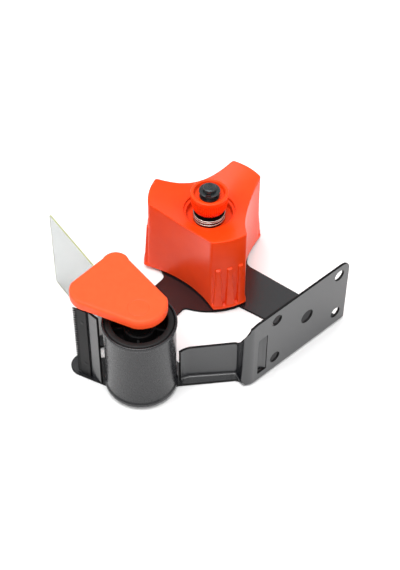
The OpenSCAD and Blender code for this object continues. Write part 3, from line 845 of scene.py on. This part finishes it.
@dataclass
class WiperFlap:
    """The clear flap that presses the tape down, clamped at one end between two riveted strips."""

    free_end: tuple = (-53.3, -79.4)
    towards: tuple = (46.1, -6.8)
    length: float = 66.0
    hinge: float = 51.0
    thick: float = 1.0
    low: float = 0.6
    root_low: float = 2.0
    high: float = 58.7
    clamp: float = 12.0
    rivets: tuple = (14.0, 46.0)
    corner: float = 0.9
    strip_thick: float = 1.2
    rivet_back: float = 6.0

    def axes(self) -> tuple[np.ndarray, np.ndarray]:
        """Directions along the flap and across it."""
        d = np.array(self.towards) / np.linalg.norm(self.towards)
        return np.array([d[0], d[1], 0]), np.array([-d[1], d[0], 0])

    def point(self, along: float, up: float = 20.0) -> tuple[float, float, float]:
        """A point on the flap's middle, in metres."""
        d, _ = self.axes()
        x, y, z = (np.array([*self.free_end, up]) + along * d) * MM
        return float(x), float(y), float(z)

    def at(self, points: np.ndarray) -> np.ndarray:
        """Stands points given as distance along, height and offset on the flap's line."""
        return stand(self.free_end, *self.axes())(points)

    def strip(self, x0: float, x1: float, z0: float, z1: float, n0: float, n1: float, soft: float) -> Skin:
        """A flat bar that lies along the flap, with rounded corners and edges."""
        outline = rounded([(x0, z0, soft), (x1, z0, soft), (x1, z1, soft), (x0, z1, soft)])
        return sheet(outline, [], n0, n1, 0.25).moved(self.at)

    def build(self) -> list[bpy.types.Object]:
        """Makes the flap, its clamp strips and its rivets."""
        cut = self.corner
        straight, bending = np.linspace(8, self.hinge - 8, 5), np.linspace(self.hinge - 6, self.hinge + 3, 13)
        x = np.hstack([cut, straight, bending, self.length - cut])
        low = np.where(x > self.hinge + 0.5, self.root_low, self.low)
        ends = np.array([(self.length, self.root_low + cut), (self.length, self.high - cut)])
        starts = np.array([(0.0, self.high - cut), (0.0, self.low + cut)])
        upper = np.column_stack([x, np.full(len(x), self.high)])[::-1]
        outline = np.vstack([np.column_stack([x, low]), ends, upper, starts])
        n = len(x)
        creases = [(i, n + 2 + (n - 1 - i)) for i in range(1, n - 1)]
        half = self.thick / 2
        skin = sheet(outline, [], -half, half, 0.15, creases, rim_finish=1).moved(self.at)
        finishes = [CLEAR_FACE, CLEAR_EDGE]
        flap = make_piece("clear_flap", [skin], finishes, ["wiper_flap", "wiper_root"])
        start, end = self.point(self.hinge + 2.0), self.point(self.hinge - 5.0)
        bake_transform(flap)
        inner, outer = self.length - self.clamp, self.length
        face = half + self.strip_thick
        back = self.strip(inner - 1, outer, self.low + cut, 56.5, -face, -half, 0.6)
        front = self.strip(inner, outer - 1, 5, 55, half, face, 1.5)
        pieces = [
            flap,
            make_piece("flap_bracket", [back], [BLACK_COAT], ["wiper_bracket"], "frame"),
            make_piece("flap_clamp_strip", [front], [BLACK_COAT], ["wiper_clamp"], "frame"),
        ]
        dome = np.array([(0, 0.9), (1.1, 0.84), (2.0, 0.62), (2.6, 0.3), (2.8, 0.0), (0, -0.5)])
        along, out = self.axes()
        heads = []
        for z in self.rivets:
            base = np.array([*self.free_end, z]) + (self.length - self.rivet_back) * along
            heads.append(rivet_head(dome, base + out * face, UP, along))
            heads.append(rivet_head(dome, base - out * face, along, UP))
        pieces.append(make_piece("flap_rivet_heads", heads, [ZINC], ["wiper_rivets"], "frame"))
        return pieces


# ---------------------------------------------------------------- edge guard

@dataclass
class EdgeGuard:
    """The moulded cap over roller and blade, open underneath, with a socket on the roller's axle."""

    corners: list = field(default_factory=lambda: [
        (13.1, -101.9, 12.5), (39.5, -88.3, 15), (6.5, -78.8, 8)])
    axle: tuple = (42.0, -92.0)
    top: float = 65.0
    depth: float = 6.0
    wall: float = 2.0
    edge: float = 1.6
    boss: float = 6.5
    mark: float = 6.0

    def outline(self) -> np.ndarray:
        """A belt round three circles: arcs joined by tangents, which turn by the difference of the radii."""
        c = np.array(self.corners)
        d = np.roll(c, -1, 0) - c
        angle = np.arctan2(d[:, 1], d[:, 0]) - math.pi / 2 + np.arcsin(d[:, 2] / np.hypot(d[:, 0], d[:, 1]))
        before = np.roll(angle, 1)
        turn = (angle - before) % (2 * math.pi)
        a = before[:, None] + turn[:, None] * np.linspace(0, 1, 25)[None, :]
        arcs = c[:, None, :2] + c[:, None, 2:] * np.stack([np.cos(a), np.sin(a)], -1)
        side = [np.linspace(arcs[i, -1], arcs[(i + 1) % 3, 0], 10)[1:-1] for i in range(3)]
        return np.vstack([np.vstack([arcs[i], side[i]]) for i in range(3)])

    def build(self) -> bpy.types.Object:
        """Makes the cap: rounded over at the top, hollow below, with a faint ring over the socket."""
        loop = self.outline()
        t = np.radians(np.linspace(0, 90, 7))
        low = self.top - self.depth
        ceiling = self.top - self.wall
        rows = [
            *[(self.edge * (1 - math.sin(a)), self.top - self.edge * (1 - math.cos(a))) for a in t],
            (0.0, low + 0.4), (0.12, low + 0.12), (0.4, low), (self.wall - 0.3, low),
            (self.wall - 0.05, low + 0.15), (self.wall, low + 0.5), (self.wall, ceiling - 0.5),
            (self.wall + 0.15, ceiling - 0.1), (self.wall + 0.5, ceiling),
        ]
        shell = grid(stepped(loop, rows), loop_columns=True)
        groove = np.array([
            (self.mark + 0.5, 0), (self.mark + 0.2, -0.03), (self.mark, -0.14), (self.mark - 0.2, -0.03),
            (self.mark - 0.5, 0), (0, 0),
        ]) + np.array([0, self.top])
        foot = self.top - self.depth - 0.5
        socket = np.array([
            (self.boss, ceiling), (self.boss, foot + 0.3), (self.boss - 0.3, foot), (4.3, foot),
            (4.05, foot + 0.3), (4.05, self.top - 2.5), (0, self.top - 2.5),
        ])
        skins = [shell, *[revolve(part, self.axle, 64, closed=False) for part in (groove, socket)]]
        outside = (1, self.top, self.edge, self.mark + 0.5)
        underside = (2, ceiling, self.wall + 0.5, self.boss)
        for patch, z, border, ring in (outside, underside):
            flat, faces = fill([inset(loop, border), circle(self.axle, ring, 64)])
            skins.append(Skin.of(raised(flat, z), faces, patch))
        return make_piece("edge_guard_cap", skins, [SATIN_ABS], ["edge_guard"], "frame")


# ---------------------------------------------------------------- tape roller

@dataclass
class TapeRoller:
    """The roller that guides the tape: a drum on two bushes, and a smooth cover with raised rims."""

    centre: tuple = (42.0, -92.0)
    low: float = 2.5
    length: float = 51.7
    rim: float = 21.3
    body: float = 20.5
    rim_height: float = 2.2
    cover_in: float = 19.8
    core_in: float = 15.9
    boss: float = 9.0
    bore: float = 6.5
    boss_top: float = 49.8
    web_top: float = 42.5
    rib_low: float = 41.0
    rib_tops: tuple = (48.2, 46.5)

    def cover(self) -> bpy.types.Object:
        """The cover, whose rims step down to the body over a soft shoulder."""
        z0, z1 = self.low, self.low + self.length
        h = self.rim_height
        profile = rounded([
            (self.cover_in, z0, 0.3), (self.rim, z0, 0.7), (self.rim, z0 + h, 0.4),
            (self.body, z0 + h + 0.9, 0.8), (self.body, z1 - h - 0.9, 0.8),
            (self.rim, z1 - h, 0.4), (self.rim, z1, 0.7),
            (self.cover_in + 0.35, z1, 0.4), (self.cover_in, z1 - 1.0, 0.3),
        ], 5)
        skin = revolve(profile, self.centre, 160)
        return make_piece("roller_cover", [skin], [COVER], ["roller_sleeve"], "roller")

    def drum(self) -> bpy.types.Object:
        """The drum: its ring, the upper web set deep inside, the boss and the flush lower web."""
        z0, z1 = self.low, self.low + self.length
        profile = rounded([
            (self.cover_in, z0, 0.3), (self.cover_in, z1 - 0.9, 0.2), (self.cover_in - 0.8, z1, 0.7),
            (self.core_in, z1, 0.6), (self.core_in, self.web_top, 0.8), (self.boss, self.web_top, 0.8),
            (self.boss, self.boss_top, 0.4),
            (self.bore, self.boss_top, 0.2), (self.bore, z0 + 0.3, 0.1), (self.core_in, z0 + 0.3, 0.1),
            (self.core_in, z0, 0.1)], 4)
        near, far = self.boss - 0.5, self.core_in + 0.5
        near_top, far_top = self.rib_tops
        low = self.rib_low
        outline = [(near, low, 0.4), (far, low, 0.4), (far, far_top, 0.4), (near, near_top, 0.4)]
        rib = sheet(rounded(outline), [], -0.7, 0.7, 0.25)
        turns = [math.pi / 4 + k * math.pi / 2 for k in range(4)]
        ribs = [rib.moved(stand(self.centre, *spoke_axes(turn))) for turn in turns]
        skins = [revolve(profile, self.centre, 160), *ribs]
        # The drum's nylon is darkened past its own black as painted shade.
        return make_piece("roller_drum", skins, [NYLON_DARKENED_AS_SHADE], ["roller_core"], "roller")

    def build(self) -> list[bpy.types.Object]:
        """Makes the cover and the drum on the roller body."""
        return [self.cover(), self.drum()]


# ---------------------------------------------------------------- roll hub

@dataclass
class RollHub:
    """The three-lobed hub that a roll of tape is pushed on, with wedge ribs that grip the cardboard core."""

    radius: float = 37.0
    low: float = 3.0
    top: float = 58.0
    lobe_turn: float = -23.4
    side_at: float = 95.40
    side_radius: float = 72.39
    wall: float = 2.2
    dish_radius: float = 16.8
    dish_low: float = 49.1
    well: float = 14.2
    ledge: float = 15.8
    floor: float = 42.8
    rib_top: float = 34.5
    rib_turns: tuple = (-11.0, 0.0, 11.0)
    corner: float = 2.2
    edge: float = 0.6
    columns: int = 960
    bore: float = 6.0
    boss: float = 8.5
    roof: float = 2.9
    hollow: float = 16.2
    well_bottom: float = 2.0

    def angles(self) -> np.ndarray:
        """The angle of each column round the hub."""
        return np.linspace(0, 2 * math.pi, self.columns, endpoint=False)

    def plan(self, reach: np.ndarray, grow: float = 0.0) -> np.ndarray:
        """Radius of the plan in each direction: the lesser of reach and the distance to a large side circle.

        The circle's near side lies at its distance times the cosine of the angle from it, less the root of
        its radius squared less its distance times the sine, squared. The two meet in a rounded corner.
        """
        turn = np.radians(self.lobe_turn + 60)
        off = (self.angles() - turn + math.pi / 3) % (2 * math.pi / 3) - math.pi / 3
        under = (self.side_radius + grow) ** 2 - (self.side_at * np.sin(off)) ** 2
        side = np.where(under > 1, self.side_at * np.cos(off) - np.sqrt(np.maximum(under, 1)), 90.0)
        side = np.minimum(side, 90.0)
        h = np.clip(0.5 + 0.5 * (side - reach) / self.corner, 0, 1)
        return side * (1 - h) + reach * h - self.corner * h * (1 - h)

    def dish(self, radius: np.ndarray) -> np.ndarray:
        """Height of the dished top: a cone that rises from the well's edge to the lobe tips."""
        slope = (self.top - 0.2 - self.dish_low) / (self.radius - 1 - self.dish_radius)
        return self.dish_low + (radius - self.dish_radius) * slope

    def reach(self, z: float) -> np.ndarray:
        """Radius of the lobe tip at a height: lip, fillet, drafted face and wedge ribs."""
        heights = [3.0, 3.3, 4.3, 4.7, 5.1, 5.6, 36.0, 58.0]
        body = np.interp(z, heights, [40.3, 40.6, 40.6, 40.3, 38.7, 38.0, 37.0, 37.0])
        rib = np.interp(z, [3.5, self.rib_top], [40.2, 38.2])
        half = np.interp(z, [3.0, self.rib_top], [2.6, 1.4])
        fade = np.interp(z, [self.rib_top - 0.1, self.rib_top + 0.45], [1, 0])
        a = self.angles()
        weight = np.zeros_like(a)
        for k in range(3):
            for turn in self.rib_turns:
                off = (a - math.radians(self.lobe_turn + 120 * k + turn) + math.pi) % (2 * math.pi) - math.pi
                across = np.abs(self.radius * np.sin(off)) + np.where(np.abs(off) > 1, 1e3, 0)
                weight = np.maximum(weight, smooth_step((half + 0.2 - across) / 0.4))
        return body + weight * fade * max(rib - body, 0.0)

    def build(self) -> bpy.types.Object:
        """Makes the hub as one closed skin of rings, from bore through well, dish and sides to hollow."""
        a = self.angles()
        spoke = np.stack([np.cos(a), np.sin(a)], -1)

        def ring(r: float | np.ndarray, z: float | np.ndarray) -> np.ndarray:
            """A ring of one radius and height, or of one for each column."""
            flat = spoke * np.broadcast_to(r, a.shape)[:, None]
            return np.column_stack([flat, np.broadcast_to(z, a.shape)])

        rows = [ring(self.bore, self.low), ring(self.bore, 24.0), ring(self.bore, self.floor)]
        well = rounded([(self.bore, self.floor, 0.1), (self.well, self.floor, 0.4), (self.well, 46.6, 0.25),
                        (self.ledge, 47.0, 0.3), (self.ledge, self.dish_low - 0.3, 0.2),
                        (self.dish_radius, self.dish_low, 0.4), (20.0, float(self.dish(np.array(20.0))), 0.1),
                        (0.0, 80.0, 0.1)], 4)
        per_corner = 5
        rows += [ring(r, z) for r, z in well[per_corner:-2 * per_corner].tolist()]
        rim = self.plan(self.reach(57.0))
        loop = spoke * rim[:, None]
        edge_rows = []
        for t in np.radians(np.linspace(0, 90, 5)):
            flat = inset(loop, self.edge * (1 - math.sin(t)))
            height = self.dish(np.linalg.norm(flat, axis=1)) - self.edge * (1 - math.cos(t))
            edge_rows.append(np.column_stack([flat, height]))
        first, last = rows[-1], edge_rows[0]
        for t in np.linspace(0, 1, 12)[1:-1]:
            flat = first[:, :2] * (1 - t) + last[:, :2] * t
            rows.append(np.column_stack([flat, self.dish(np.linalg.norm(flat, axis=1))]))
        rows += edge_rows
        upper = edge_rows[-1][:, 2]
        for share in (0.15, 0.4, 0.65, 0.85):
            rows.append(np.column_stack([loop, upper + (36.5 - upper) * share]))
        side_heights = (36.5, 35.4, 35.0, 34.8, 34.6, 34.4, 34.0, 31, 27, 23, 19, 15, 11, 8, 6.4, 5.6, 5.3,
                        5.0, 4.7, 4.5, 4.3, 4.1, 3.9, 3.6, 3.3, 3.1, 3.0)
        rows += [ring(self.plan(self.reach(z)), z) for z in side_heights]
        inner = self.plan(np.full_like(a, self.radius - self.wall), self.wall)
        ceiling = self.dish(inner) - self.roof
        rows += [ring(inner + 0.4, 3.0), ring(inner, 3.3)]
        rows += [ring(inner, 3.3 + (ceiling - 0.6 - 3.3) * share) for share in (0.3, 0.6, 1.0)]
        for t in np.linspace(0.02, 1, 6):
            r = inner * (1 - t) + self.hollow * t
            rows.append(ring(r, self.dish(r) - self.roof))
        under = self.floor - self.well_bottom
        rows += [ring(self.hollow, under + 0.3), ring(self.hollow - 0.3, under), ring(self.boss, under),
                 ring(self.boss, 3.3), ring(self.boss - 0.3, self.low)]
        skins = [grid(np.stack(rows), loop_rows=True, loop_columns=True)]
        outline = rounded([(8.2, 3.2, 0.4), (21.2, 3.2, 0.4), (21.2, 40.5, 0.4), (8.2, 40.5, 0.4)])
        rib = sheet(outline, [], -0.9, 0.9, 0.2)
        turns = [math.radians(self.lobe_turn + 60 + 120 * k) for k in range(3)]
        skins += [rib.moved(stand((0.0, 0.0), *spoke_axes(turn))) for turn in turns]
        return make_piece("roll_hub_body", skins, [GLOSS_ABS], ["roll_hub"], "hub")


# ---------------------------------------------------------------- brake

@dataclass
class BrakeStack:
    """The stud, the spring, the knurled knob that loads it and the clip that keeps the knob on."""

    stud: float = 4.0
    stud_top: float = 67.9
    pitch: float = 1.25
    wire: float = 0.9
    coil: float = 9.9
    spring_low: float = 43.3
    spring_high: float = 48.0
    turns: float = 3.2
    knob_low: float = 50.8
    knob_top: float = 63.7
    knob_wide: float = 11.5
    knob_foot: float = 8.6
    knurls: int = 60
    clip_low: float = 64.6
    clip_wide: float = 6.4
    clip_turn: float = -50.0
    clip_inner: float = 3.25
    clip_thick: float = 0.68
    clip_gap: float = 34.0
    thread: tuple = (44.0, 64.0)

    def threaded_stud(self) -> bpy.types.Object:
        """The stud: foot, shank, a thread whose depth follows height less angle in pitches, groove."""
        low = rounded([(9.0, 1.5, 0.2), (9.0, 2.4, 0.3), (self.stud, 2.4, 0.2)], 3)
        shank = np.column_stack([np.full(3, self.stud), [12.0, 26.0, 43.0]])
        thread_low, thread_high = self.thread
        z = np.arange(thread_low, thread_high, 0.16)
        thread = np.column_stack([np.full(len(z), self.stud), z])
        tip = np.array([
            (4.0, 64.2), (4.0, 64.45), (3.9, 64.55), (3.2, 64.6), (3.2, 65.3), (3.9, 65.35), (4.0, 65.5),
            (4.0, 67.2), (3.9, 67.5), (3.6, 67.8), (3.2, self.stud_top), (0, self.stud_top),
        ])
        profile = np.vstack([[(0, 0)], [(self.stud, 0)], low[1:], shank, thread, tip])
        a = np.linspace(0, 2 * math.pi, 64, endpoint=False)[None, :]
        turn = (profile[:, 1:] / self.pitch - a / (2 * math.pi)) % 1
        depth = 0.38 * (1 - np.abs(2 * turn - 1))
        height = profile[:, 1:]
        cut = smooth_step((height - thread_low - 0.5) / 1.0) * smooth_step((thread_high - height) / 0.8)
        skin = revolve(profile, steps=64, closed=False, carve=depth * cut)
        return make_piece("threaded_stud", [skin], [BLACK_OXIDE], ["hub_stud"], "frame")

    def spring(self) -> bpy.types.Object:
        """The spring: a helix that rises between flat ends."""
        turns = np.linspace(0, self.turns, 290)
        mid = self.coil - self.wire / 2
        rise = self.spring_high - self.spring_low - self.wire
        height = self.spring_low + self.wire / 2 + rise * smooth_step((turns - 0.25) / (self.turns - 0.5))
        a = 2 * math.pi * turns
        out = np.column_stack([np.cos(a), np.sin(a), np.zeros_like(a)])
        path = mid * out + np.column_stack([np.zeros((len(a), 2)), height])
        b = np.linspace(0, 2 * math.pi, 14, endpoint=False)
        section = self.wire / 2 * np.stack([np.cos(b), np.sin(b)], -1)
        up = np.tile(UP, (len(a), 1))
        skin = sweep(path, out, up, section)
        coil = make_piece("brake_coil", [skin], [BRIGHT_WIRE], ["brake_spring"])
        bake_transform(coil)
        return coil

    def knob(self) -> bpy.types.Object:
        """The knob: a cup on a rounded foot, with knurls cut as a cosine round it and a smooth band above."""
        low, top, wide, foot = self.knob_low, self.knob_top, self.knob_wide, self.knob_foot
        inner = rounded([
            (6.0, low, 0.1), (6.0, top - 3.2, 0.1), (wide - 2.4, top - 3.2, 0.5), (wide - 1.9, top, 0.5),
            (wide, top, 0.6), (wide - 0.4, low + 4.7, 3.0), (wide - 1.1, low + 2.2, 1.5),
            (foot + 1.0, low + 0.5, 0.5), (foot, low, 0.3),
        ], 5)
        rows = np.linspace(0, 1, 14)[1:-1, None]
        rim_end = 5 * 6
        start, end = inner[rim_end - 1], inner[rim_end]
        profile = np.vstack([inner[:rim_end], start * (1 - rows) + end * rows, inner[rim_end:]])
        outside = np.arange(len(profile)) >= rim_end - 2
        a = np.linspace(0, 2 * math.pi, self.knurls * 10, endpoint=False)[None, :]
        z = profile[:, 1:]
        cut = outside[:, None] * smooth_step((60.9 - z) / 0.6) * smooth_step((z - low - 0.1) / 0.5)
        carve = cut * 0.24 * (1 - np.cos(self.knurls * a))
        skin = revolve(profile, steps=self.knurls * 10, carve=carve)
        return make_piece("knurled_knob", [skin], [GLOSS_ABS], ["brake_knob"], "knob")

    def clip(self) -> bpy.types.Object:
        """The open ring in the stud's groove: a rounded strip carried round most of a circle."""
        gap = math.radians(self.clip_gap)
        a = np.linspace(gap / 2, 2 * math.pi - gap / 2, 80) + math.radians(self.clip_turn)
        out = np.column_stack([np.cos(a), np.sin(a), np.zeros_like(a)])
        mid, wide = (self.clip_inner + self.clip_wide) / 2, self.clip_wide - self.clip_inner
        path = mid * out + np.array([0, 0, self.clip_low + 0.35])
        up = np.tile(UP, (len(a), 1))
        skin = sweep(path, out, up, section_box(wide, self.clip_thick, 0.3))
        return make_piece("stud_clip", [skin], [BLACK_OXIDE], ["retaining_clip"], "frame")

    def build(self) -> list[bpy.types.Object]:
        """Makes the four pieces of the brake that show."""
        return [self.threaded_stud(), self.spring(), self.knob(), self.clip()]


# ---------------------------------------------------------------- studio

@dataclass
class Studio:
    """A pale floor, soft light from all round and a camera that looks down on the dispenser."""

    azimuth: float = 47.1
    elevation: float = 47.8
    roll: float = 0.45
    place: tuple = (0.4262, -0.4032, 0.6280)
    lens: float = 86.1
    sensor: float = 36.0
    horizon: float = 1.0
    zenith: float = 0.62

    def floor(self) -> None:
        """Lays a large pale floor just under the object."""
        half, z = 3.0, -0.0003
        mesh = bpy.data.meshes.new("studio_floor")
        corners = [(-half, -half, z), (half, -half, z), (half, half, z), (-half, half, z)]
        mesh.from_pydata(corners, [], [(0, 1, 2, 3)])
        ground = bpy.data.objects.new("studio_floor", mesh)
        bpy.context.scene.collection.objects.link(ground)
        paper = bpy.data.materials.new("studio_paper")
        paper.use_nodes = True
        shader = paper.node_tree.nodes["Principled BSDF"]
        shader.inputs["Base Color"].default_value = linear("#F7F7F7")
        shader.inputs["Roughness"].default_value = 0.9
        mesh.materials.append(paper)

    def lights(self) -> None:
        """Hangs soft boxes round the object under a white sky that is brightest at the horizon."""
        world = bpy.data.worlds.new("studio_sky")
        world.use_nodes = True
        tree = world.node_tree
        direction = add_node(tree, "ShaderNodeTexCoord")
        axes = add_node(tree, "ShaderNodeSeparateXYZ", links={"Vector": direction.outputs["Generated"]})
        fade = add_node(
            tree, "ShaderNodeMapRange",
            {"From Min": 0.1, "From Max": 0.8, "To Min": self.horizon, "To Max": self.zenith},
            {"Value": axes.outputs["Z"]},
        )
        tree.nodes["Background"].inputs["Color"].default_value = linear("#FFFFFF")
        tree.links.new(fade.outputs["Result"], tree.nodes["Background"].inputs["Strength"])
        bpy.context.scene.world = world
        for name, spot, size, power in (
            ("top_box", (0.05, -0.25, 1.0), 0.9, 12.0),
            ("left_box", (-0.7, -0.75, 0.6), 0.7, 1.5),
            ("right_box", (0.9, 0.35, 0.6), 0.6, 1.5),
        ):
            data = bpy.data.lights.new(name, "AREA")
            data.size = size
            data.energy = power
            lamp = bpy.data.objects.new(name, data)
            lamp.location = spot
            aim = Vector((0.02, -0.04, 0.03)) - Vector(spot)
            lamp.rotation_euler = aim.to_track_quat("-Z", "Y").to_euler()
            bpy.context.scene.collection.objects.link(lamp)

    def camera(self) -> None:
        """Sets the camera by its place, azimuth, elevation and a slight roll."""
        data = bpy.data.cameras.new("studio_camera")
        data.lens = self.lens
        data.sensor_width = self.sensor
        data.clip_start, data.clip_end = 0.01, 20.0
        eye = bpy.data.objects.new("studio_camera", data)
        bpy.context.scene.collection.objects.link(eye)
        a, e = math.radians(self.azimuth), math.radians(self.elevation)
        back = Vector((math.sin(a) * math.cos(e), -math.cos(a) * math.cos(e), math.sin(e)))
        turn = (-back).to_track_quat("-Z", "Y").to_matrix() @ Matrix.Rotation(math.radians(self.roll), 3, "Z")
        eye.matrix_world = Matrix.Translation(self.place) @ turn.to_4x4()
        bpy.context.scene.camera = eye

    def build(self) -> None:
        """Sets the floor, the lights, the camera and a plain view of the colours."""
        self.floor()
        self.lights()
        self.camera()
        bpy.context.scene.view_settings.view_transform = "Standard"


def dress_cad_nodes() -> None:
    """Gives every listed CAD node a finish: its real counterpart's, or painted shade black for parts that sit
    in shadow.
    """
    for name, finish in CAD_FINISHES.items():
        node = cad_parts[name]
        material = finish.material()
        if not node.material_slots:
            node.data.materials.append(material)
        for index in range(len(node.material_slots)):
            node.material_slots[index].material = material
        LOG.info("%s: CAD node in %s", name, finish.name)


def main() -> None:
    """Builds the dispenser sub-assembly by sub-assembly, in the order in which the real one goes together."""
    logging.basicConfig(level=logging.INFO, format="%(name)s: %(message)s")
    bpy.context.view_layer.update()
    Studio().build()
    PressedFrame().build()
    for assembly in (CuttingEdge(), WiperFlap(), TapeRoller(), BrakeStack()):
        assembly.build()
    EdgeGuard().build()
    RollHub().build()
    dress_cad_nodes()


if __name__ == "__main__":
    main()
